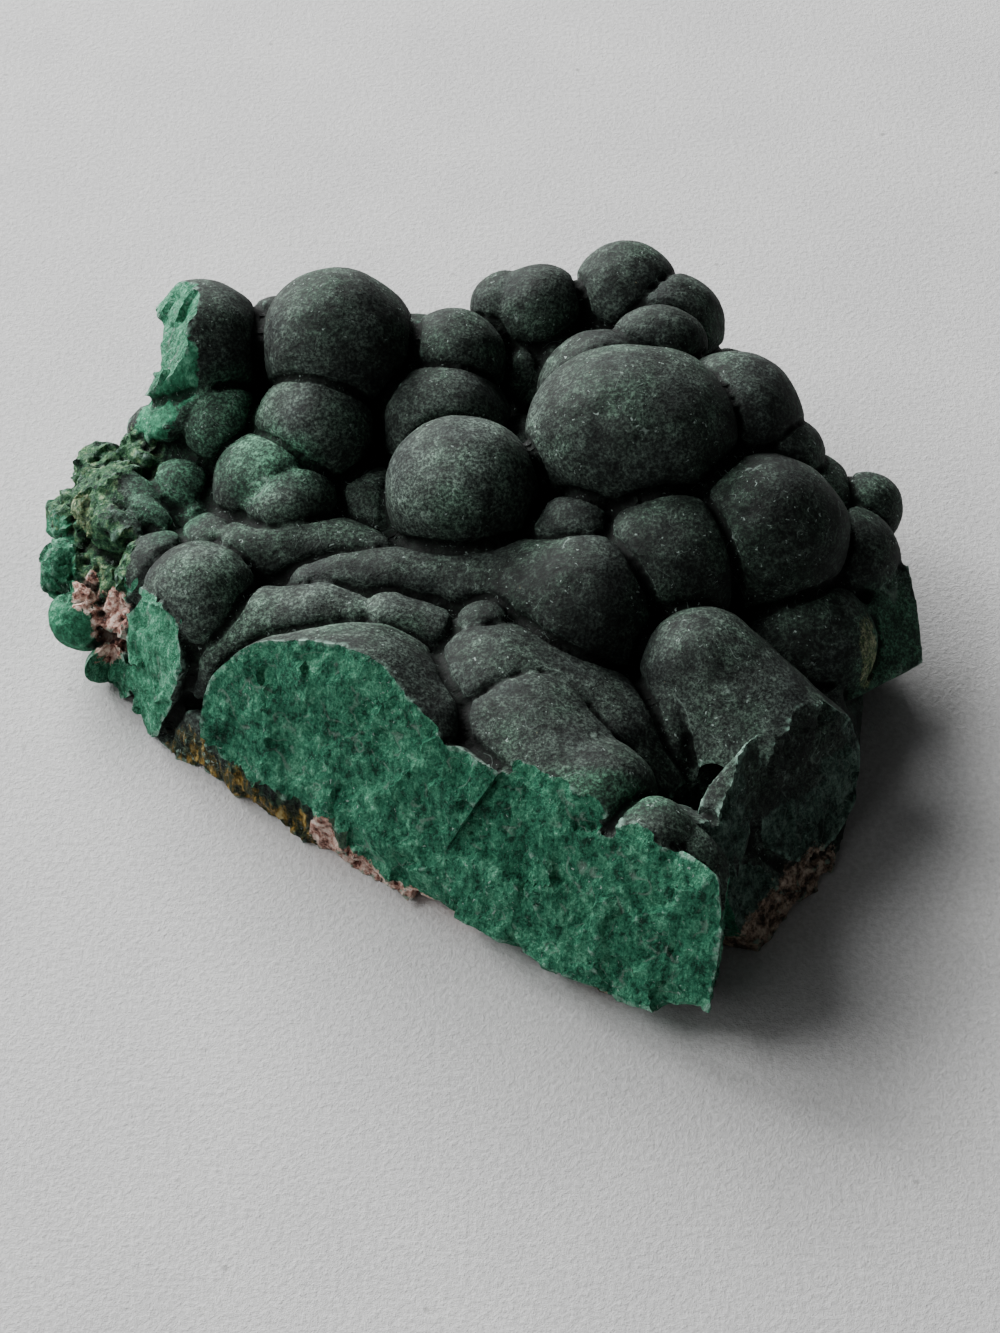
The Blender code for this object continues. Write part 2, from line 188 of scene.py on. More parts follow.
# Lobes drawn out into ridges, each a run of x, y, z and radius from end to end.
RIDGES = (
    ((-27.0, 11.1, 15.6, 4.6), (-20.8, 11.5, 15.8, 5.2), (-15.6, 10.8, 15.6, 5.0),
     (-10.7, 8.7, 15.2, 4.5)),
    ((-21.3, 4.8, 15.8, 2.5), (-18.4, 5.1, 16.2, 4.0), (-14.8, 5.7, 16.5, 4.4),
     (-9.8, 5.8, 16.8, 4.6), (-4.2, 5.9, 17.0, 4.8), (2.6, 4.7, 17.0, 5.8), (10.7, 2.2, 16.8, 8.7)),
    ((-31.0, -0.6, 9.0, 2.9), (-28.1, 0.1, 11.8, 4.7), (-23.4, 1.4, 15.2, 4.7),
     (-17.4, 1.0, 16.4, 4.7), (-13.7, -0.4, 16.4, 4.4)),
    ((-10.4, -0.5, 16.8, 4.4), (-5.7, -2.0, 16.6, 4.0)),
    ((-19.9, -12.8, 11.0, 12.7), (-13.8, -12.6, 12.0, 13.3), (-10.1, -15.2, 12.0, 11.5)),
    ((2.0, -8.5, 13.5, 9.4), (12.9, -13.5, 11.5, 8.3), (17.2, -17.4, 9.0, 6.7)),
    ((4.8, -14.7, 13.8, 9.1), (9.6, -22.4, 14.0, 8.2), (12.5, -23.6, 16.3, 6.3)),
    ((24.2, -6.0, 16.5, 7.0), (32.0, -15.1, 9.5, 10.0)),
    ((23.9, -6.6, 15.5, 6.6), (20.4, -12.5, 11.0, 6.1)),
)

# Rock that fills the specimen under its domes, each block by the corners of its hull.
BODY = (
    (-36.5, -3.0, 0.0), (-27.0, -13.0, 0.0), (-16.0, -18.5, 0.0), (2.0, -31.0, 0.0),
    (11.5, -37.0, 0.0), (20.0, -38.5, 0.0), (24.5, -37.5, 0.0), (26.0, -31.5, 0.0),
    (39.0, -21.0, 0.5), (43.0, -7.0, 0.5), (44.5, 5.0, 1.5), (34.0, 20.0, 0.0), (26.0, 30.0, 0.0),
    (8.0, 35.0, 0.0), (-18.0, 34.0, 0.0), (-32.0, 22.0, 0.0), (37.0, 24.0, 3.5), (28.0, 35.0, 3.5),
    (9.0, 41.0, 4.0), (-20.0, 40.0, 4.0), (-37.0, 27.0, 4.0), (-33.0, 0.0, 8.0), (-26.0, -6.0, 8.0),
    (-14.0, -11.0, 13.0), (9.0, -24.0, 14.0), (23.5, -34.0, 11.0), (29.0, -18.0, 9.0),
    (40.0, -4.0, 11.0), (43.0, 12.0, 12.0), (35.0, 26.0, 14.0), (12.0, 41.0, 16.0),
    (-20.0, 39.0, 16.0), (-34.0, 30.0, 17.0),
)
LEFT_LEDGE = (
    (-50.5, 15.5, 9.0), (-50.0, 23.5, 12.0), (-46.5, 28.5, 14.0), (-41.0, 29.0, 18.5),
    (-34.0, 28.0, 19.5), (-36.0, 12.0, 14.0), (-41.0, 6.0, 9.0), (-48.0, 9.5, 7.5),
    (-47.0, 11.0, 2.5), (-46.0, 24.0, 3.5), (-38.0, 30.0, 5.0), (-34.0, 5.0, 0.0),
    (-34.0, 25.0, 0.0),
)
UPPER_LEFT_SHOULDER = (
    (-31.0, 30.0, 26.0), (-36.0, 34.0, 25.0), (-41.5, 34.0, 19.0), (-42.5, 31.0, 17.0),
    (-41.5, 27.5, 15.0), (-37.0, 26.0, 22.0), (-32.0, 26.0, 22.0), (-36.0, 35.0, 13.0),
    (-34.0, 26.0, 10.0), (-30.0, 34.0, 12.0),
)
LEFT_FOOT = (
    (-39.2, 4.4, 18.3), (-41.5, 5.3, 12.8), (-41.6, 2.2, 6.0), (-41.6, 0.2, 2.0),
    (-39.6, -3.0, 0.5), (-38.0, -4.6, 2.0), (-36.8, -4.9, 6.2), (-34.6, -4.6, 13.6),
    (-35.0, -1.8, 18.0), (-36.4, 1.2, 19.6), (-33.5, 8.0, 16.0), (-35.0, 9.0, 8.0),
    (-35.0, 6.0, 0.0), (-33.0, 0.0, 0.0), (-31.0, -1.0, 6.0), (-29.0, 0.0, 13.0),
    (-30.0, 3.0, 17.0),
)
RIGHT_LEDGE = (
    (50.8, 3.5, 6.5), (49.0, 12.0, 14.0), (42.0, 4.0, 14.0), (41.5, -3.5, 8.5), (47.0, 5.0, 3.0),
    (38.0, 0.0, 0.0), (38.0, 20.0, 2.0), (46.0, 15.0, 4.0),
)
CORNER_FIN = (
    (29.0, -19.2, 22.5), (27.5, -20.6, 22.2), (25.6, -22.8, 20.0), (23.6, -23.2, 18.0),
    (22.4, -25.5, 16.5), (22.2, -27.5, 15.0), (25.0, -30.5, 15.0), (27.4, -23.5, 20.0),
    (26.7, -26.5, 19.0), (25.7, -28.0, 17.5), (30.2, -21.0, 16.5), (28.3, -26.0, 13.0),
    (26.5, -31.0, 6.0), (30.0, -22.0, 8.0), (23.0, -30.0, 8.0),
)
FRONT_CRUST = (
    (-5.0, -20.0, 21.5), (2.8, -26.0, 20.2), (7.1, -28.2, 20.3), (12.2, -31.2, 20.4),
    (21.0, -36.5, 16.5), (25.5, -40.0, 12.0), (-20.0, -16.0, 10.0), (-22.0, -17.5, 5.0),
    (-18.0, -20.5, 2.0), (-8.0, -29.0, 1.0), (4.0, -37.5, 1.0), (12.0, -42.5, 1.0),
    (25.5, -45.0, 4.0), (26.0, -31.0, 0.0), (-14.0, -7.0, 14.0), (0.0, -12.0, 16.0),
    (7.0, -20.5, 15.5), (15.0, -28.0, 14.5), (23.0, -33.0, 12.0), (0.0, -10.0, 0.0),
)
CORNER_SLAB = (
    (15.4, -32.8, 20.0), (17.9, -33.1, 22.1), (19.9, -33.9, 22.4), (21.9, -35.3, 21.9),
    (23.9, -36.8, 21.0), (25.5, -45.5, 5.0), (15.0, -44.0, 2.5), (24.5, -36.0, 3.0),
    (15.0, -34.0, 3.0), (15.5, -30.0, 16.0), (21.0, -31.5, 17.0), (24.8, -33.5, 15.5),
)
FOOT_ROCK = (
    (-38.0, -2.5, 0.0), (-33.3, -8.3, 0.0), (-29.3, -11.3, 0.0), (-22.0, -15.5, 0.0),
    (-15.5, -19.5, 0.0), (-10.0, -23.0, 0.0), (-4.5, -26.7, 0.0), (-1.5, -28.5, 0.0),
    (-35.5, -1.5, 5.0), (-31.5, -6.0, 8.5), (-28.0, -9.0, 8.0), (-24.0, -12.5, 6.0),
    (-17.0, -17.5, 4.5), (-10.0, -22.5, 3.0), (-5.0, -26.0, 2.5), (-20.0, 0.0, 0.0),
    (-20.0, 0.0, 8.0),
)
BLOCKS = (BODY, LEFT_LEDGE, UPPER_LEFT_SHOULDER, LEFT_FOOT, RIGHT_LEDGE, CORNER_FIN, FRONT_CRUST,
          CORNER_SLAB, FOOT_ROCK)

# Broken faces: a point on the face, the heading of its outward normal (degrees from +X),
# the lift of that normal above level, and the size of the block that takes the stone away.
BREAKS = (
    dict(name="front_break", at=(-8.7, -25.6, 3.5), heading=-124.0, lift=25.0, width=96.0,
         height=90.0),
    dict(name="front_step", at=(13.4, -37.0, 9.5), heading=-124.0, lift=30.5, roll=-16.0,
         width=40.0, height=50.0),
    dict(name="front_right_break", at=(10.9, -39.5, 2.3), heading=-118.0, lift=26.0, width=80.0,
         height=90.0),
    dict(name="foot_wall", at=(-27.3, -11.2, 3.0), heading=-125.6, lift=-2.0, width=34.0,
         height=24.0),
    dict(name="front_undercut", at=(11.5, -38.0, 2.8), heading=-122.5, lift=-41.0, width=46.0,
         height=30.0),
    dict(name="corner_undercut", at=(16.4, -41.3, 4.3), heading=-90.9, lift=-40.0, width=60.0,
         height=30.0),
    dict(name="right_end_break", at=(24.6, -37.5, 8.0), heading=-10.0, lift=0.0, width=13.0,
         height=40.0, depth=20.0),
    dict(name="right_wall_break", at=(37.9, -18.6, 6.0), heading=-40.5, lift=22.5, width=36.0,
         height=50.0, depth=15.0),
    dict(name="back_break", at=(0.0, 46.5, 14.0), heading=92.0, lift=-22.0, width=110.0,
         height=40.0),
    dict(name="back_left_break", at=(-33.5, 42.0, 12.0), heading=126.0, lift=-20.0, width=40.0,
         height=34.0),
    dict(name="back_right_break", at=(34.5, 38.5, 10.0), heading=46.0, lift=-20.0, width=40.0,
         height=30.0),
    dict(name="upper_left_break", at=(-33.0, 37.0, 31.0), heading=185.0, lift=38.0, width=22.0,
         height=36.0, depth=14.0),
    dict(name="upper_left_undercut", at=(-37.0, 37.6, 20.0), heading=182.0, lift=-15.0, width=11.5,
         height=12.0, depth=10.0),
    dict(name="lower_left_break", at=(-35.4, 1.8, 18.5), heading=214.0, lift=15.0, width=16.0,
         height=44.0, depth=12.0),
)
# Deep folds: each a run of x, y, z and radius from end to end.
HOLLOWS = (
    dict(name="corner_pocket",
         run=((21.6, -28.0, 15.5, 1.5), (23.1, -21.9, 13.0, 2.8), (26.7, -18.1, 14.0, 2.6))),
)

# Where the stone is something other than plain dark crust: ellipsoids by centre and half-sizes.
# The borders are this soft, and stray this far, as shares of the half-sizes.
ZONE_SOFT = 0.35
ZONE_STRAY = 0.25
ZONES = {
    "porous": (
        ((-46.5, 19.5, 11.0), (6.5, 11.5, 9.0)), ((-41.5, 25.5, 16.5), (5.0, 4.5, 4.0)),
        ((-41.5, 12.0, 14.0), (3.0, 4.0, 4.0)),
    ),
    "tan": (
        ((-46.5, 18.5, 15.0), (2.2, 3.4, 2.4)), ((-45.5, 12.5, 12.5), (2.0, 2.4, 2.0)),
        ((43.2, 0.5, 11.5), (1.2, 4.8, 5.2)),
    ),
    "rosy": (
        ((-42.6, 7.6, 9.0), (2.6, 3.4, 5.0)), ((-46.0, 11.0, 10.8), (1.8, 2.4, 2.0)),
        ((-14.5, -21.0, 0.4), (6.0, 4.5, 2.8)), ((-6.5, -26.5, 0.2), (9.0, 5.0, 2.4)),
        ((-17.6, -18.5, 3.0), (1.6, 1.8, 3.0)),
    ),
    "jade": (
        ((-35.0, 31.0, 27.5), (2.4, 5.0, 4.5)), ((-51.0, 13.0, 7.5), (4.2, 12.5, 8.0)),
        ((-47.5, 7.0, 6.0), (3.6, 5.0, 5.0)), ((-46.0, 3.5, 3.5), (5.5, 4.5, 4.5)),
        ((-38.6, 28.6, 21.5), (3.4, 3.6, 3.6)), ((-36.5, 32.5, 26.0), (3.0, 4.5, 5.0)),
    ),
    "ochre": (
        ((-32.0, -8.0, 1.5), (5.5, 5.0, 4.6)), ((-26.0, -12.0, 1.5), (6.0, 5.0, 4.2)),
        ((-21.0, -15.5, 1.0), (3.5, 3.0, 3.4)),
    ),
    "brown": (
        ((33.0, -26.0, 0.5), (9.0, 9.0, 4.6)), ((11.0, -38.5, 0.6), (6.0, 3.0, 1.5)),
    ),
    # Painted highlight: the tops of some domes, where the light falls, are brightened.
    "frosted": (
        ((-2.5, 16.0, 28.0), (9.0, 9.0, 8.0)), ((-21.0, 21.0, 25.0), (8.0, 8.0, 7.0)),
        ((-31.0, 2.0, 19.0), (6.0, 6.0, 6.0)), ((-17.0, -1.0, 20.0), (9.0, 5.0, 4.0)),
    ),
    # Painted shade: the right-hand lobes, where the big dome's shadow falls, are darkened.
    "sooty": (
        ((33.0, 11.0, 26.0), (8.5, 8.5, 8.0)), ((34.0, 3.0, 21.0), (9.0, 8.0, 8.0)),
        ((7.0, -1.0, 23.0), (9.0, 7.0, 6.0)), ((21.0, 3.5, 23.0), (6.0, 6.0, 6.0)),
    ),
    "crusted": (
        ((32.0, -16.5, 17.0), (10.0, 8.0, 6.5)),
    ),
    "green": (
        ((-36.0, 19.5, 18.0), (4.5, 7.0, 5.0)), ((-30.5, 29.0, 20.0), (5.5, 6.0, 6.0)),
        ((-24.0, 20.0, 20.0), (6.0, 5.0, 6.0)), ((45.0, 4.0, 9.0), (8.0, 8.0, 6.0)),
        ((12.0, -27.0, 21.5), (8.0, 2.6, 2.4)),
    ),
}
# Breaks of the fine surface alone: a sliver of the foot rock in front of the green face.
FINE_BREAKS = (
    dict(name="rim_trim", at=(-8.6, -24.6, 2.0), heading=-125.6, lift=8.0, width=15.0, height=12.0),
)

# The stone's clouds of noise: lumps per millimetre, layers, roughness and warp.
CLOUDS = {
    "patch": dict(scale=0.13, detail=3.0, rough=0.6),
    "middle": dict(scale=0.75, detail=3.0, rough=0.62),
    "grain": dict(scale=2.8, detail=3.0, rough=0.75),
    "border": dict(scale=1.1, detail=3.0, rough=0.65),
    "coarse": dict(scale=0.9, detail=4.0, rough=0.72),
    "cloud": dict(scale=0.30, detail=4.0, rough=0.6, warp=0.8),
}
STREAK = dict(scale=1.3, detail=3.0, rough=0.78)
STREAK_LIE = dict(stretch=(1.0, 1.0, 0.30), turn=(0.0, 28.0, 20.0))
PILLARS = dict(scale=1.1, detail=4.0, rough=0.65)
PILLAR_LIE = dict(stretch=(1.0, 1.0, 0.28), turn=(12.0, 0.0, 0.0))
VEINS = dict(scale=0.42, detail=2.0, rough=0.5, warp=0.6)
BANDS = dict(scale=0.16, detail=3.0, rough=0.6)
SWAY = dict(scale=0.7, detail=1.0, rough=0.5, output="Color")  # bends the facets' borders
HAIRS = dict(scale=0.42, detail=1.0, rough=0.5, warp=1.5)
SCRATCHES = dict(scale=0.23, detail=0.0, rough=0.5, warp=0.4)
SCRATCH_LIE = dict(turn=(40.0, 15.0, 70.0))
FLAKES = dict(scale=1.9, detail=2.0, rough=0.6, warp=0.6)

# How strongly each pattern counts in the tone of the broken green.
STREAK_SHARE = 0.36
GRAIN_SHARE = 0.24
VEIN_SHARE = 0.10
BAND_SHARE = 0.15
FACET_TONES = ((0.42, 0.045), (1.3, 0.060))  # facets per millimetre and their share

# Colour ramps: places along a pattern and the linear colour at each.
TONES = {
    "crust": ((0.34, (0.020, 0.025, 0.024)), (0.50, (0.027, 0.036, 0.032)),
              (0.64, (0.029, 0.046, 0.037))),
    "inner": ((0.39, (0.003, 0.034, 0.018)), (0.450, (0.012, 0.110, 0.060)),
              (0.510, (0.040, 0.196, 0.110)), (0.570, (0.110, 0.34, 0.21)),
              (0.630, (0.28, 0.57, 0.42))),
    "walls": ((0.41, (0.008, 0.085, 0.042)), (0.50, (0.042, 0.215, 0.118)),
              (0.61, (0.19, 0.49, 0.33))),
    "dusk": ((0.42, (0.008, 0.022, 0.016)), (0.50, (0.046, 0.092, 0.070)),
             (0.60, (0.17, 0.26, 0.215))),
    "porous": ((0.38, (0.003, 0.018, 0.009)), (0.46, (0.017, 0.072, 0.034)),
               (0.56, (0.060, 0.155, 0.070)), (0.67, (0.24, 0.34, 0.18))),
    "tan": ((0.38, (0.03, 0.06, 0.025)), (0.48, (0.13, 0.18, 0.075)), (0.62, (0.40, 0.42, 0.24))),
    "jade": ((0.41, (0.007, 0.060, 0.030)), (0.51, (0.038, 0.200, 0.108)),
             (0.62, (0.18, 0.46, 0.30))),
    "rosy": ((0.36, (0.07, 0.025, 0.020)), (0.43, (0.30, 0.14, 0.11)),
             (0.50, (0.58, 0.36, 0.29)), (0.60, (0.86, 0.70, 0.61))),
    "shale": ((0.42, (0.004, 0.008, 0.006)), (0.50, (0.014, 0.038, 0.024)),
              (0.60, (0.050, 0.105, 0.060))),
    "ochre": ((0.40, (0.006, 0.010, 0.006)), (0.47, (0.030, 0.045, 0.018)),
              (0.54, (0.13, 0.085, 0.020)), (0.61, (0.36, 0.23, 0.050)),
              (0.69, (0.56, 0.45, 0.19))),
    "brown": ((0.37, (0.030, 0.022, 0.017)), (0.46, (0.150, 0.105, 0.078)),
              (0.55, (0.40, 0.30, 0.225)), (0.64, (0.66, 0.56, 0.45))),
    "paper": ((0.34, (0.535, 0.535, 0.535)), (0.66, (0.585, 0.585, 0.58))),
}
# Ramps that darken and brighten what lies under them.
CRUST_PEPPER = {
    "grain": ((0.38, (0.28, 0.28, 0.28)), (0.50, (0.95, 0.95, 0.95)), (0.62, (2.5, 2.5, 2.4))),
    "middle": ((0.34, (0.60, 0.60, 0.60)), (0.66, (1.40, 1.45, 1.40))),
    "cloud": ((0.36, (0.62, 0.60, 0.60)), (0.64, (1.38, 1.42, 1.38))),
}
PAPER_TOOTH = ((0.36, (0.86, 0.86, 0.86)), (0.64, (1.10, 1.10, 1.10)))

# Single colours and how much of each shows at most.
GREEN_CRUST, GREEN_SHARE = (0.034, 0.105, 0.066), 0.55
PALE_LIP, LIP_SHARE = (0.20, 0.27, 0.23), 0.45
# Proud edges painted paler: partly worn, partly a painted highlight.
WORN_LIT_EDGE, WORN_LIT_SHARE = (0.24, 0.40, 0.32), 0.7
BRIGHT_MARK, MARK_SHARE = (0.34, 0.43, 0.39), 0.8
PAPER_SPECK, SPECK_SHARE = (0.20, 0.20, 0.195), 0.55
# Painted shade that darkens the creases.
CREASE_SHADE = (0.16, 0.17, 0.16)
# Painted highlight on some dome tops, as a colour gain.
LIT_TOP_GAIN = 1.7
# Painted shade on the right-hand lobes, as a colour gain.
SHADE_GAIN = 0.62
WANDER = 1.6  # how far the borders between rocks stray
STONE_BUMP = 0.15  # millimetres
STONE_SPECULAR = 0.16
PAPER_BUMP = 0.20
PAPER_SPECULAR = 0.2
PAPER_ROUGHNESS = 0.9


def new_collection(name):
    """A collection linked to the scene."""
    group = bpy.data.collections.new(name)
    bpy.context.scene.collection.children.link(group)
    return group


def mesh_object(name, bm, group):
    """Turn a bmesh into an object in the given collection."""
    mesh = bpy.data.meshes.new(name)
    bm.to_mesh(mesh)
    bm.free()
    obj = bpy.data.objects.new(name, mesh)
    group.objects.link(obj)
    return obj


def settle(obj):
    """Make the modifiers' result the object's own mesh."""
    graph = bpy.context.evaluated_depsgraph_get()
    graph.update()
    made = bpy.data.meshes.new_from_object(obj.evaluated_get(graph))
    old = obj.data
    obj.modifiers.clear()
    obj.data = made
    bpy.data.meshes.remove(old)


# ---------------------------------------------------------------- noise
# field, layered and chips take points, a wavelength in millimetres and a seed.

def wave(point, length, seed):
    """Smooth noise of about -1 to 1 with the given wavelength in millimetres."""
    shift = Vector((seed, 2.0 * seed, 3.0 * seed))
    return noise.noise(point / (length * MM) + shift)


def relief(point):
    """Height pattern of a broken face: hackly, with a broad swell under it."""
    swell = wave(point, 3.0 * BREAK_WAVELENGTH, 9.3)
    return wave(point, BREAK_WAVELENGTH, 4.1) + BREAK_SWELL * swell


def cell_key(cell):
    """A scattered whole number for each cell of a grid, mixed from its place by large primes."""
    key = cell[:, 0] * 73856093 ^ cell[:, 1] * 19349663 ^ cell[:, 2] * 83492791
    return (key ^ (key >> 13)) * 1274126177 & 0x7FFFFFFF


def key_bytes(key, shifts, full):
    """Three of the key's bytes side by side, each from 0 to 255 / full."""
    return np.stack([(key >> shift & 255) / full for shift in shifts], 1)


def field(points, length, seed):
    """Smooth noise of about -1 to 1 at many points, in millimetres."""
    q = points / length + np.array((seed * 3.17, seed * 7.43, seed * 5.71))
    cell = np.floor(q).astype(np.int64)
    part = q - cell
    ease = part ** 3 * (part * (part * 6.0 - 15.0) + 10.0)
    total = np.zeros(len(q))
    for corner in map(np.array, itertools.product((0, 1), repeat=3)):
        lean = key_bytes(cell_key(cell + corner), (3, 11, 19), 127.5) - 1.0
        weight = np.prod(np.where(corner == 1, ease, 1.0 - ease), 1)
        total += weight * (lean * (part - corner)).sum(1)
    return total * 1.7


def layered(points, length, seed, layers=3):
    """Several layers of noise, each half as long and half as strong as the last."""
    return sum(0.5 ** k * field(points, length / 2 ** k, seed + k) for k in range(layers))


def chips(points, length, seed, step, lean):
    """Angular facets: each scattered cell has its own height, up to step, and slope, up to lean."""
    q = points / length + np.array((seed * 2.31, seed * 4.07, seed * 6.53))
    home = np.floor(q).astype(np.int64)
    nearest, height = np.full(len(q), 9.0), np.zeros(len(q))
    for corner in map(np.array, itertools.product((-1, 0, 1), repeat=3)):
        cell = home + corner
        key = cell_key(cell)
        spin = (key * 48271 + 11) & 0x7FFFFFFF
        slope = key_bytes(spin, (4, 12, 20), 127.5) - 1.0
        away = q - (cell + key_bytes(key, (3, 11, 19), 255.0))
        distance = (away ** 2).sum(1)
        value = step * ((spin >> 7 & 255) / 127.5 - 1.0) + lean * (away * slope).sum(1)
        height = np.where(distance < nearest, value, height)
        nearest = np.minimum(nearest, distance)
    return height


def smooth_step(value, low, high):
    """0 below low, 1 above high, eased between."""
    t = np.clip((value - low) / (high - low), 0.0, 1.0)
    return t * t * (3.0 - 2.0 * t)


# ---------------------------------------------------------------- stone mesh

def add_dome(bm, at, r, long=1.0, wide=1.0, tall=1.0, yaw=0.0):
    """One rounded growth: a sphere stretched along, across and upright."""
    place = Matrix.Translation(Vector(at) * MM)
    turn = Matrix.Rotation(math.radians(yaw), 4, "Z")
    size = Matrix.Diagonal((long, wide, tall, 1.0))
    bmesh.ops.create_icosphere(bm, subdivisions=DOME_DETAIL, radius=r * MM,
                               matrix=place @ turn @ size)


def add_block(bm, corners):
    """One convex block of rock spanning the given corners."""
    verts = [bm.verts.new(Vector(corner) * MM) for corner in corners]
    hull = bmesh.ops.convex_hull(bm, input=verts)
    loose = {v for v in hull["geom_interior"] if isinstance(v, bmesh.types.BMVert)}
    bmesh.ops.delete(bm, geom=list(loose), context="VERTS")


def ball_corners(x, y, z, r):
    """Points spread evenly over a ball."""
    ball = bmesh.new()
    place = Matrix.Translation((x, y, z))
    bmesh.ops.create_icosphere(ball, subdivisions=DOME_DETAIL, radius=r, matrix=place)
    corners = [v.co.copy() for v in ball.verts]
    ball.free()
    return corners


def ridge_hulls(run):
    """Corners of the rounded hulls of a drawn-out lobe, from each ball of the run to the next."""
    return [ball_corners(*first) + ball_corners(*second) for first, second in zip(run, run[1:])]


def overlapping_shells():
    """All domes and blocks as closed shells that run into each other."""
    bm = bmesh.new()
    for dome in DOMES:
        add_dome(bm, **dome)
    for corners in itertools.chain(*map(ridge_hulls, RIDGES), BLOCKS):
        add_block(bm, corners)
    for vert in bm.verts:
        outward = vert.normal.copy()
        vert.co += outward * wave(vert.co, SKIN_WAVELENGTH, 1.7) * SKIN_WAVE * MM
    return bm


def rows_of(mesh, kind):
    """One row per vertex: its position in metres ("co") or its normal ("normal")."""
    flat = np.empty(len(mesh.vertices) * 3, np.float32)
    mesh.vertices.foreach_get(kind, flat)
    return flat.reshape(-1, 3).astype(float)


def surface_of(mesh):
    """Vertex positions in millimetres, and normals."""
    return rows_of(mesh, "co") / MM, rows_of(mesh, "normal")


def put_points(mesh, points):
    """Move the vertices to the given positions in millimetres."""
    mesh.vertices.foreach_set("co", (points * MM).astype(np.float32).ravel())
    mesh.update()


def zone(points, name):
    """How far each point belongs to a zone, 0 to 1; its name's length seeds its soft border."""
    nearest = np.full(len(points), 9.0)
    for centre, half in ZONES[name]:
        away = (points - np.array(centre)) / np.array(half)
        nearest = np.minimum(nearest, np.sqrt((away ** 2).sum(1)))
    nearest = nearest + ZONE_STRAY * layered(points, 4.0, 11.0 + len(name))
    return 1.0 - smooth_step(nearest, 1.0 - ZONE_SOFT, 1.0 + ZONE_SOFT)


def weather(mesh):
    """Fine shape of the outer surface: dents in the crust, chips and pits in the rock."""
    points, normals = surface_of(mesh)
    porous, rosy = zone(points, "porous"), zone(points, "rosy")
    matrix = np.clip(rosy + zone(points, "ochre") + zone(points, "brown"), 0.0, 1.0)
    fold = smooth_step(bending(mesh, neighbours(mesh), 6), *CREASE_BEND)
    dents = DENTS * layered(points, 8.0, 12.0, 2) + FINE_DENTS * layered(points, 3.0, 2.0)
    lift = dents * (1.0 - porous) - CREASE_DEPTH * fold
    pits = smooth_step(field(points, 1.3, 5.0), 0.12, 0.60)
    slabs = POROUS_CHIPS * chips(points, 3.6, 6.0, step=0.8, lean=1.8)
    slabs += POROUS_FINE_CHIPS * chips(points, 1.5, 8.0, step=0.8, lean=1.2)
    slabs += POROUS_GRAIN * layered(points, 1.8, 6.0)
    slabs -= PIT_DEPTH * pits
    lift += porous * (1.0 - ROSY_CALM * rosy) * slabs
    crumbly = ROCK_CHIPS * chips(points, 2.2, 7.0, step=1.0, lean=1.0)
    crumbly += ROCK_GRAIN * layered(points, 1.6, 7.0)
    lift += matrix * crumbly
    put_points(mesh, points + normals * lift[:, None])


def face_frame(at, heading, lift, roll):
    """Placement whose local +X is the outward normal of a broken face."""
    turn = Euler((math.radians(roll), -math.radians(lift), math.radians(heading)), "XYZ")
    return Matrix.Translation(Vector(at) * MM) @ turn.to_matrix().to_4x4()


def break_sheet(width, height):
    """A fine upright grid facing along +X."""
    bm = bmesh.new()
    upright = Matrix.Rotation(math.radians(90.0), 4, "Y")
    size = Matrix.Diagonal((height * MM, width * MM, 1.0, 1.0))
    rows = max(2, round(height / BREAK_STEP))
    columns = max(2, round(width / BREAK_STEP))
    bmesh.ops.create_grid(bm, x_segments=rows, y_segments=columns, size=0.5, matrix=upright @ size)
    return bm


def grow_back(bm, coordinate, value):
    """Close a sheet into a block whose far side lies at one coordinate."""
    grown = bmesh.ops.extrude_face_region(bm, geom=bm.faces[:])
    for vert in grown["geom"]:
        if isinstance(vert, bmesh.types.BMVert):
            vert.co[coordinate] = value
    bmesh.ops.recalc_face_normals(bm, faces=bm.faces)


def break_block(group, name, at, heading, lift, width, height, depth=BLOCK_DEPTH, roll=0.0):
    """A block whose near side carries the relief of a broken face."""
    bm = break_sheet(width, height)
    place = face_frame(at, heading, lift, roll)
    spots = np.array([tuple(place @ v.co) for v in bm.verts]) / MM
    hackle = FACETS * chips(spots, 4.6, 20.0, step=0.9, lean=3.2)
    hackle += FINE_FACETS * chips(spots, 1.7, 22.0, step=0.8, lean=2.4)
    hackle += FACET_GRAIN * layered(spots, 1.5, 21.0, 2)
    if name in GROOVES:
        hackle += GROOVES[name] * layered(spots * np.array((1.0, 1.0, 0.22)), 1.9, 24.0)
    for vert, fine in zip(bm.verts, hackle):
        if not vert.is_boundary:
            vert.co.x += (relief(place @ vert.co) * BREAK_ROUGHNESS + fine) * MM
    grow_back(bm, 0, depth * MM)
    bmesh.ops.transform(bm, matrix=place, verts=bm.verts)
    return mesh_object(name, bm, group)


def deep_folds(group, name, run):
    """The rounded voids of a drawn-out fold, one from each ball of the run to the next."""
    cutters = []
    for corners in ridge_hulls(run):
        bm = bmesh.new()
        add_block(bm, corners)
        cutters.append(mesh_object(name, bm, group))
    return cutters


def base_block(group):
    """What lies under the stone: a sheet at table level, rising a little into a rough underside."""
    bm = bmesh.new()
    size = Matrix.Diagonal((BASE_SIZE * MM, BASE_SIZE * MM, 1.0, 1.0))
    bmesh.ops.create_grid(bm, x_segments=BASE_STEPS, y_segments=BASE_STEPS, size=0.5, matrix=size)
    spots = np.array([tuple(v.co) for v in bm.verts]) / MM
    rise = np.clip(0.5 * layered(spots, 11.0, 31.0, 3) + 0.1, 0.0, BASE_RISE)
    for vert, up in zip(bm.verts, rise):
        if not vert.is_boundary:
            vert.co.z = up * MM
    grow_back(bm, 2, -BASE_DEPTH * MM)
    return mesh_object("resting_cut", bm, group)


def take_away(obj, cutter, mark):
    """Remove a cutter's volume; the new faces carry the cutter's material."""
    cutter.data.materials.clear()
    cutter.data.materials.append(mark)
    cut = obj.modifiers.new(cutter.name, "BOOLEAN")
    cut.operation = "DIFFERENCE"
    cut.solver = "MANIFOLD"
    cut.material_mode = "TRANSFER"
    cut.object = cutter


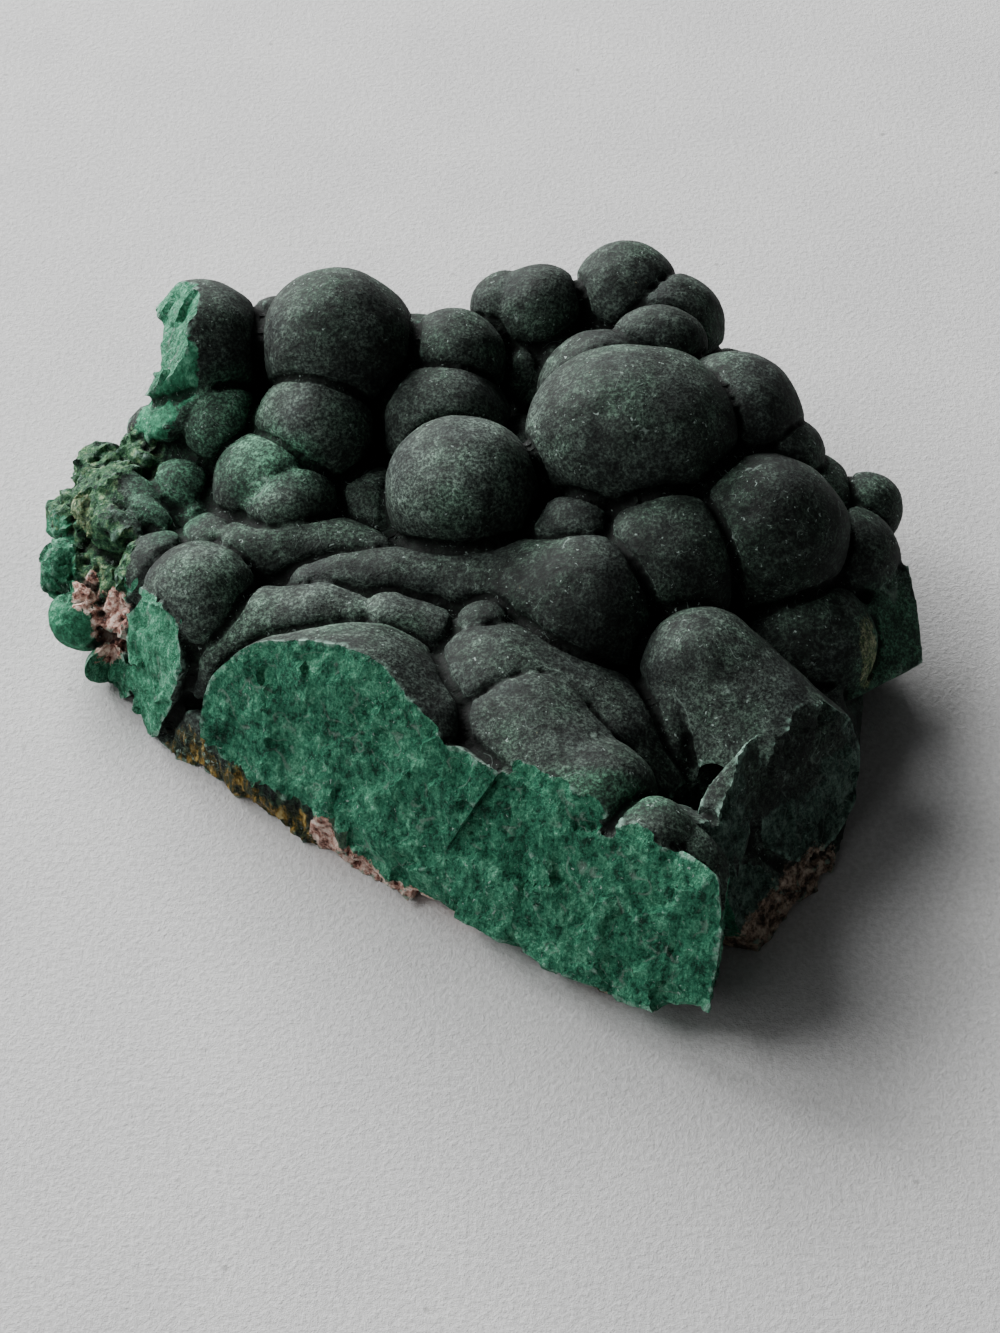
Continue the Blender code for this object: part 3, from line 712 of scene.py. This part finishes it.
def drop_crumbs(mesh):
    """Remove the small bits that the cutters left loose."""
    bm = bmesh.new()
    bm.from_mesh(mesh)
    loose = []
    for start in bm.verts:
        if start.tag:
            continue
        start.tag = True
        island, ahead = [start], [start]
        while ahead:
            vert = ahead.pop()
            for edge in vert.link_edges:
                other = edge.other_vert(vert)
                if not other.tag:
                    other.tag = True
                    island.append(other)
                    ahead.append(other)
        if len(island) < CRUMB:
            loose += island
    bmesh.ops.delete(bm, geom=loose, context="VERTS")
    bm.to_mesh(mesh)
    bm.free()


def grown_stone(group):
    """Domes, ridges and rock grown into one skin and thinned to a lean mesh."""
    stone = mesh_object("malachite_stone", overlapping_shells(), group)
    joined = stone.modifiers.new("grown_together", "REMESH")
    joined.mode = "VOXEL"
    joined.voxel_size = GRAIN * MM
    joined.use_smooth_shade = True
    settle(stone)
    weather(stone.data)
    triangles = 2 * len(stone.data.polygons)
    lean = stone.modifiers.new("lean_mesh", "DECIMATE")
    lean.ratio = min(1.0, TRIANGLES / triangles)
    lean.use_collapse_triangulate = True
    settle(stone)
    return stone


def break_stone(stone, group):
    """Cut the broken faces, the deep folds and the underside, each marked by material slot."""
    faces = BREAKS + FINE_BREAKS
    names = ["crust"] + [face["name"] for face in faces] + ["hollow", "resting_cut"]
    marks = {name: bpy.data.materials.new("mark_" + name) for name in names}
    stone.data.materials.clear()
    stone.data.materials.append(marks["crust"])
    cutters = []
    for face in faces:
        cutters.append(break_block(group, **face))
        take_away(stone, cutters[-1], marks[face["name"]])
    for hollow in HOLLOWS:
        for void in deep_folds(group, **hollow):
            cutters.append(void)
            take_away(stone, void, marks["hollow"])
    cutters.append(base_block(group))
    take_away(stone, cutters[-1], marks["resting_cut"])
    settle(stone)
    drop_crumbs(stone.data)
    for cutter in cutters:
        mesh = cutter.data
        bpy.data.objects.remove(cutter, do_unlink=True)
        bpy.data.meshes.remove(mesh)


def build_stone():
    """The whole specimen as one fine mesh."""
    looks, cutters = new_collection("malachite_specimen_looks"), new_collection("looks_cutters")
    stone = grown_stone(looks)
    break_stone(stone, cutters)
    bpy.data.collections.remove(cutters)
    triangulate(stone)
    return stone


def mark_names(mesh):
    """For each face, the name of the break it belongs to, or crust."""
    names = np.array([m.name.replace("mark_", "") if m else "crust" for m in mesh.materials])
    index = np.empty(len(mesh.polygons), np.int32)
    mesh.polygons.foreach_get("material_index", index)
    return names[np.clip(index, 0, len(names) - 1)]


def triangulate(obj):
    """Split every face into triangles, keeping its mark."""
    cut = obj.modifiers.new("triangles", "TRIANGULATE")
    cut.quad_method = "BEAUTY"
    settle(obj)


def neighbours(mesh):
    """Ends of every edge."""
    flat = np.empty(len(mesh.edges) * 2, np.int32)
    mesh.edges.foreach_get("vertices", flat)
    return flat.reshape(-1, 2)


def spread(values, ends, count, rounds):
    """Average a per-vertex value with its neighbours, several times."""
    degree = np.bincount(ends.ravel(), minlength=count).astype(float)
    for _ in range(rounds):
        total = np.bincount(ends[:, 0], values[ends[:, 1]], count)
        total = total + np.bincount(ends[:, 1], values[ends[:, 0]], count)
        values = 0.4 * values + 0.6 * total / np.maximum(degree, 1.0)
    return values


def bending(mesh, ends, rounds):
    """How hollow (positive) or proud (negative) the surface is at each vertex, per millimetre."""
    points, normals = surface_of(mesh)
    span = points[ends[:, 1]] - points[ends[:, 0]]
    length2 = np.maximum((span ** 2).sum(1), 1e-6)
    turn = ((normals[ends[:, 1]] - normals[ends[:, 0]]) * span).sum(1) / length2
    turn = np.clip(-turn, -2.0, 2.0)
    count = len(points)
    weight = np.bincount(ends.ravel(), minlength=count).astype(float)
    total = np.bincount(ends[:, 0], turn, count) + np.bincount(ends[:, 1], turn, count)
    return spread(total / np.maximum(weight, 1.0), ends, count, rounds)


def put_attribute(mesh, name, values, domain="POINT"):
    """Store one number per vertex or per corner."""
    layer = mesh.attributes.new(name, "FLOAT", domain)
    layer.data.foreach_set("value", np.asarray(values, np.float32))


def describe_surface(mesh):
    """Store what each place of the surface is: broken or grown, of which rock, hollow or proud."""
    points, ends = surface_of(mesh)[0], neighbours(mesh)
    marks = mark_names(mesh)
    corners = np.empty(len(marks), np.int32)
    mesh.polygons.foreach_get("loop_total", corners)
    per_corner = np.repeat(np.arange(len(marks)), corners)

    def put_faces(name, chosen):
        put_attribute(mesh, name, chosen[per_corner].astype(float), "CORNER")

    put_faces("broken", ~np.isin(marks, GROWN_FACES))
    for name, faces in FACE_TONES.items():
        put_faces(name, np.isin(marks, faces))
    for name in ZONES:
        put_attribute(mesh, name, zone(points, name))
    low = smooth_step(-points[:, 2], *BACK_ROCK_HEIGHT)
    behind = smooth_step(points[:, 1], *BACK_ROCK_PLACE)
    put_attribute(mesh, "rock_back", low * behind)
    put_attribute(mesh, "hollow", np.clip(bending(mesh, ends, 3), -1.0, 1.0))
    put_attribute(mesh, "edge", np.clip(-bending(mesh, ends, 1), -1.0, 1.5))
    mesh.polygons.foreach_set("material_index", np.zeros(len(marks), np.int32))


# ---------------------------------------------------------------- materials

class Nodes:
    """A small helper that writes one material's nodes."""

    def __init__(self, name):
        self.material = bpy.data.materials.new(name)
        self.material.use_nodes = True
        self.tree = self.material.node_tree
        self.shader = self.tree.nodes["Principled BSDF"]

    def add(self, kind, inputs=(), **settings):
        """A node with its settings and its inputs, each a number, a colour or another socket."""
        node = self.tree.nodes.new(kind)
        for key, value in settings.items():
            setattr(node, key, value)
        for key, value in dict(inputs).items():
            self.feed(node.inputs[key], value)
        return node

    def feed(self, socket, value):
        """Link or set one input."""
        if isinstance(value, bpy.types.NodeSocket):
            self.tree.links.new(value, socket)
        elif isinstance(value, tuple) and len(value) == 3 and socket.type == "RGBA":
            socket.default_value = value + (1.0,)
        else:
            socket.default_value = value

    def place(self, stretch=(1.0, 1.0, 1.0), turn=(0.0, 0.0, 0.0)):
        """Position on the stone in millimetres, optionally turned and stretched."""
        node = self.add("ShaderNodeMapping", {
            "Vector": self.add("ShaderNodeTexCoord").outputs["Object"],
            "Rotation": tuple(math.radians(angle) for angle in turn),
            "Scale": tuple(share / MM for share in stretch),
        })
        return node.outputs["Vector"]

    def noise(self, spot, scale, detail=3.0, rough=0.55, warp=0.0, output="Fac"):
        """Cloudy noise, scale in lumps per millimetre."""
        node = self.add("ShaderNodeTexNoise", {"Vector": spot, "Scale": scale, "Detail": detail,
                                               "Roughness": rough, "Distortion": warp})
        return node.outputs[output]

    def cells(self, spot, scale):
        """Distance to the nearest of scattered points."""
        node = self.add("ShaderNodeTexVoronoi", {"Vector": spot, "Scale": scale})
        return node.outputs["Distance"]

    def patches(self, spot, scale):
        """One random tone for each scattered cell, 0 to 1."""
        node = self.add("ShaderNodeTexVoronoi", {"Vector": spot, "Scale": scale})
        parts = self.add("ShaderNodeSeparateColor", {"Color": node.outputs["Color"]})
        return parts.outputs["Red"]

    def math(self, operation, a, b=0.0):
        """One arithmetic step."""
        node = self.add("ShaderNodeMath", operation=operation)
        self.feed(node.inputs[0], a)
        self.feed(node.inputs[1], b)
        return node.outputs[0]

    def plus(self, a, b):
        """Sum of two numbers."""
        return self.math("ADD", a, b)

    def minus(self, a, b):
        """Difference of two numbers."""
        return self.math("SUBTRACT", a, b)

    def times(self, a, b):
        """Product of two numbers."""
        return self.math("MULTIPLY", a, b)

    def most(self, first, *others):
        """The largest of several numbers."""
        for other in others:
            first = self.math("MAXIMUM", first, other)
        return first

    def span(self, value, low, high, out_low=0.0, out_high=1.0):
        """Stretch a range onto another, eased and clamped."""
        node = self.add("ShaderNodeMapRange", {"Value": value, "From Min": low, "From Max": high,
                                               "To Min": out_low, "To Max": out_high},
                        interpolation_type="SMOOTHSTEP")
        return node.outputs["Result"]

    def ramp(self, value, stops):
        """Colours along a value."""
        node = self.add("ShaderNodeValToRGB", {"Fac": value})
        bar = node.color_ramp
        while len(bar.elements) < len(stops):
            bar.elements.new(0.5)
        for element, (position, colour) in zip(bar.elements, stops):
            element.position = position
            element.color = tuple(colour) + (1.0,)
        return node.outputs["Color"]

    def blend(self, amount, a, b, kind="MIX"):
        """Mix two colours."""
        node = self.add("ShaderNodeMix", data_type="RGBA", blend_type=kind)
        self.feed(node.inputs["Factor"], amount)
        self.feed(node.inputs["A"], a)
        self.feed(node.inputs["B"], b)
        return node.outputs["Result"]

    def tinted(self, colour, tint):
        """A colour darkened or brightened by another."""
        return self.blend(1.0, colour, tint, "MULTIPLY")

    def between(self, amount, a, b):
        """Mix two numbers."""
        node = self.add("ShaderNodeMix", data_type="FLOAT")
        for key, value in (("Factor", amount), ("A", a), ("B", b)):
            self.feed(node.inputs[key], value)
        return node.outputs["Result"]

    def stored(self, name):
        """A number stored on the mesh."""
        return self.add("ShaderNodeAttribute", attribute_name=name).outputs["Fac"]

    def bump(self, height, depth_mm, strength):
        """Fine relief of the given depth."""
        node = self.add("ShaderNodeBump", {"Height": height, "Distance": depth_mm * MM,
                                           "Strength": strength})
        return node.outputs["Normal"]

    def finish(self, colour, roughness, specular, normal):
        """Join everything to the shader."""
        self.feed(self.shader.inputs["Base Color"], colour)
        self.feed(self.shader.inputs["Roughness"], roughness)
        self.feed(self.shader.inputs["Specular IOR Level"], specular)
        self.feed(self.shader.inputs["Normal"], normal)
        return self.material


class StoneNodes(Nodes):
    """The stone's material, a method for each layer, with the patterns that they share."""

    def __init__(self, name):
        super().__init__(name)
        self.spot = self.place()
        self.clouds = {key: self.noise(self.spot, **cloud) for key, cloud in CLOUDS.items()}
        self.streak = self.noise(self.place(**STREAK_LIE), **STREAK)
        self.wander = self.times(self.minus(self.clouds["border"], 0.5), WANDER)
        self.inner_tone = self.tone_inside()
        self.broken = self.freshly_broken()

    def mask(self, name, low=0.4, high=0.6):
        """Where a stored zone holds, with a grainy border."""
        return self.span(self.plus(self.stored(name), self.wander), low, high)

    def tone_inside(self):
        """Light and dark of the broken green: streaks, grain, veins, bands and facets."""
        tone = self.plus(self.times(self.streak, STREAK_SHARE),
                         self.times(self.clouds["grain"], GRAIN_SHARE))
        tone = self.plus(tone, self.times(self.noise(self.spot, **VEINS), VEIN_SHARE))
        tone = self.plus(tone, self.times(self.noise(self.spot, **BANDS), BAND_SHARE))
        sway = self.noise(self.spot, **SWAY)
        bent = self.add("ShaderNodeVectorMath", {0: self.spot, 1: sway}, operation="ADD")
        spot = bent.outputs["Vector"]
        facets = [self.times(self.patches(spot, scale), share) for scale, share in FACET_TONES]
        return self.plus(tone, self.plus(*facets))

    def freshly_broken(self):
        """How freshly broken each place is; a dark crust has grown over some of it."""
        stray = self.times(self.minus(self.clouds["middle"], 0.5), WANDER)
        crusted = self.span(self.plus(self.stored("crusted"), stray), 0.3, 0.7)
        return self.times(self.stored("broken"), self.minus(1.0, crusted))

    def crust(self):
        """Dark velvety crust, peppered with pale grains and greener in places; painted highlight
        brightens some dome tops and painted shade darkens the right-hand lobes.
        """
        colour = self.ramp(self.clouds["patch"], TONES["crust"])
        green = self.times(self.stored("green"), GREEN_SHARE)
        colour = self.blend(green, colour, GREEN_CRUST)
        for key, stops in CRUST_PEPPER.items():
            colour = self.tinted(colour, self.ramp(self.clouds[key], stops))
        # Painted highlight on some dome tops and painted shade on the right-hand lobes.
        gain = self.times(self.span(self.stored("frosted"), 0.0, 1.0, 1.0, LIT_TOP_GAIN),
                          self.span(self.stored("sooty"), 0.0, 1.0, 1.0, SHADE_GAIN))
        node = self.add("ShaderNodeVectorMath", {0: colour, "Scale": gain}, operation="SCALE")
        return node.outputs["Vector"]

    def inside(self):
        """Broken green, paler on the left walls and duller on the right one."""
        colour = self.ramp(self.inner_tone, TONES["inner"])
        colour = self.blend(self.stored("pale"), colour, self.ramp(self.inner_tone, TONES["walls"]))
        return self.blend(self.stored("dusky"), colour, self.ramp(self.inner_tone, TONES["dusk"]))

    def rocks(self, colour):
        """The rocks it grew on, laid over the colour; also how much any of them shows."""
        coarse, foot = self.clouds["coarse"], self.stored("foot")
        pillars = self.noise(self.place(**PILLAR_LIE), **PILLARS)
        speckled = self.span(self.clouds["grain"], 0.42, 0.56, 0.15, 0.85)
        porous, rosy = self.mask("porous", 0.35, 0.65), self.mask("rosy")
        ochre = self.times(self.mask("ochre", 0.35, 0.65), self.most(foot, 0.6))
        bare = self.most(self.stored("bottom"), self.mask("rock_back"))
        brown = self.most(self.mask("brown"), bare)
        layers = (
            (porous, coarse, "porous"),
            (self.times(self.mask("tan"), speckled), coarse, "tan"),
            (self.mask("jade"), self.inner_tone, "jade"),
            (foot, pillars, "shale"),
            (ochre, pillars, "ochre"),
            (rosy, coarse, "rosy"),
            (brown, coarse, "brown"),
        )
        for amount, pattern, tones in layers:
            colour = self.blend(amount, colour, self.ramp(pattern, TONES[tones]))
        return colour, self.most(self.broken, porous, rosy, ochre, brown)

    def painted_light_and_wear(self, colour):
        """Painted shade darkening the creases, a pale lip beside some of them, and proud edges
        painted bright, partly worn and partly a painted highlight.
        """
        hollow = self.stored("hollow")
        # Painted shade: the creases are darkened, less so on broken faces.
        crease = self.span(self.plus(hollow, self.times(self.wander, 0.16)), 0.10, 0.46)
        crease = self.times(crease, self.span(self.stored("broken"), 1.0, 0.0, 0.12, 1.0))
        colour = self.blend(crease, colour, self.tinted(colour, CREASE_SHADE))
        lip = self.times(self.span(hollow, 0.015, 0.05), self.span(hollow, 0.10, 0.05))
        lip = self.times(lip, self.span(self.clouds["cloud"], 0.48, 0.58))
        colour = self.blend(self.times(lip, LIP_SHARE), colour, PALE_LIP)
        # Proud edges painted paler: partly worn, partly a painted highlight.
        worn_lit_edge = self.times(self.span(self.stored("edge"), 0.45, 1.0),
                            self.span(self.clouds["border"], 0.40, 0.56))
        return self.blend(self.times(worn_lit_edge, WORN_LIT_SHARE), colour, WORN_LIT_EDGE)

    def contour(self, pattern, wide, narrow):
        """A hair line where a pattern passes through its middle value."""
        return self.span(self.math("ABSOLUTE", self.minus(0.5, pattern)), wide, narrow)

    def marks(self, colour):
        """Small bright flakes, hairs and scratches, in loose flocks."""
        hair = self.contour(self.noise(self.spot, **HAIRS), 0.006, 0.002)
        hair = self.times(hair, self.span(self.clouds["middle"], 0.54, 0.58))
        scratch = self.contour(self.noise(self.place(**SCRATCH_LIE), **SCRATCHES), 0.0035, 0.001)
        scratch = self.times(scratch, self.span(self.clouds["cloud"], 0.50, 0.54))
        line = self.times(self.most(hair, scratch), self.span(self.broken, 1.0, 0.0, 0.0, 0.4))
        flake = self.span(self.noise(self.spot, **FLAKES), 0.67, 0.72)
        flock = self.span(self.clouds["patch"], 0.40, 0.56)
        mark = self.times(self.most(line, flake), flock)
        return self.blend(self.times(mark, MARK_SHARE), colour, BRIGHT_MARK)

    def roughness(self, rock):
        """Velvety on the crust; in the rock the pale grains shine a little."""
        grain = self.clouds["grain"]
        return self.between(rock, self.span(grain, 0.35, 0.65, 0.68, 0.92),
                            self.span(grain, 0.40, 0.60, 0.80, 0.38))

    def relief(self):
        """Fine bump, stronger on broken faces and rock."""
        grain = self.clouds["grain"]
        skin = self.plus(self.times(grain, 0.7), self.clouds["middle"])
        rocks = [self.stored(name) for name in ("broken", "porous", "rosy", "ochre", "brown")]
        rock = self.times(self.plus(grain, self.streak), self.times(self.most(*rocks), 2.2))
        return self.bump(self.plus(skin, rock), STONE_BUMP, 1.0)


def stone_material():
    """Malachite crust, its broken green inside and the rock it grew on."""
    n = StoneNodes("malachite_stone")
    colour, rock = n.rocks(n.blend(n.broken, n.crust(), n.inside()))
    colour = n.marks(n.painted_light_and_wear(colour))
    return n.finish(colour, n.roughness(rock), STONE_SPECULAR, n.relief())


def paper_material():
    """Matte pale grey sheet with mottle, tooth and a few specks."""
    n = Nodes("pale_table")
    spot = n.place()
    mottle = n.noise(spot, 0.045, 3.0, 0.6)
    tooth = n.noise(spot, 1.5, 3.0, 0.8)
    colour = n.tinted(n.ramp(mottle, TONES["paper"]), n.ramp(tooth, PAPER_TOOTH))
    speck = n.times(n.span(n.cells(spot, 0.16), 0.075, 0.035), n.span(mottle, 0.47, 0.60))
    colour = n.blend(n.times(speck, SPECK_SHARE), colour, PAPER_SPECK)
    return n.finish(colour, PAPER_ROUGHNESS, PAPER_SPECULAR, n.bump(tooth, PAPER_BUMP, 0.9))


# ---------------------------------------------------------------- set

def add_floor():
    """A plain pale table, level with the stone's foot."""
    bm = bmesh.new()
    bmesh.ops.create_grid(bm, x_segments=1, y_segments=1, size=FLOOR_HALF)
    floor = mesh_object("pale_floor", bm, new_collection("stage"))
    floor.data.materials.append(paper_material())


def add_light(name, heading, elevation, distance, width, height, power):
    """A soft rectangular lamp in the given direction, aimed at the stone."""
    lamp = bpy.data.lights.new(name, "AREA")
    lamp.shape = "RECTANGLE"
    lamp.size, lamp.size_y = width, height
    lamp.energy = power
    obj = bpy.data.objects.new(name, lamp)
    a, e = math.radians(heading), math.radians(elevation)
    way = Vector((math.cos(a) * math.cos(e), math.sin(a) * math.cos(e), math.sin(e)))
    obj.location = Vector(LIGHT_AIM) + way * distance
    obj.rotation_euler = way.to_track_quat("Z", "Y").to_euler()
    bpy.context.scene.collection.objects.link(obj)


def add_world():
    """Even light from all round."""
    world = bpy.data.worlds.new("room")
    world.use_nodes = True
    back = world.node_tree.nodes["Background"]
    back.inputs["Color"].default_value = (1.0, 1.0, 1.0, 1.0)
    back.inputs["Strength"].default_value = ROOM_GLOW
    bpy.context.scene.world = world


def add_camera():
    """The camera, at the photograph's viewing angle."""
    lens = bpy.data.cameras.new("view")
    lens.lens = FOCAL_LENGTH
    lens.sensor_fit = "VERTICAL"
    lens.sensor_height = SENSOR_HEIGHT
    lens.clip_start = 0.01
    lens.clip_end = 20.0
    camera = bpy.data.objects.new("view", lens)
    tilt = math.radians(CAMERA_ELEVATION)
    way = Vector((0.0, -math.cos(tilt), math.sin(tilt)))
    camera.location = Vector(CAMERA_TARGET) * MM + CAMERA_DISTANCE * way
    camera.rotation_euler = (math.radians(90.0) - tilt, 0.0, 0.0)
    bpy.context.scene.collection.objects.link(camera)
    bpy.context.scene.camera = camera


def main():
    """Build and dress the stone, then set the scene."""
    stone = build_stone()
    describe_surface(stone.data)
    stone.data.materials.clear()
    stone.data.materials.append(stone_material())
    stone.data.shade_smooth()
    stone.data.set_sharp_from_angle(angle=math.radians(SHARP_ANGLE))
    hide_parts("malachite_specimen")
    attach(stone, "root")
    print("stone triangles", len(stone.data.polygons))
    add_floor()
    for light in LIGHTS:
        add_light(**light)
    add_world()
    add_camera()


main()
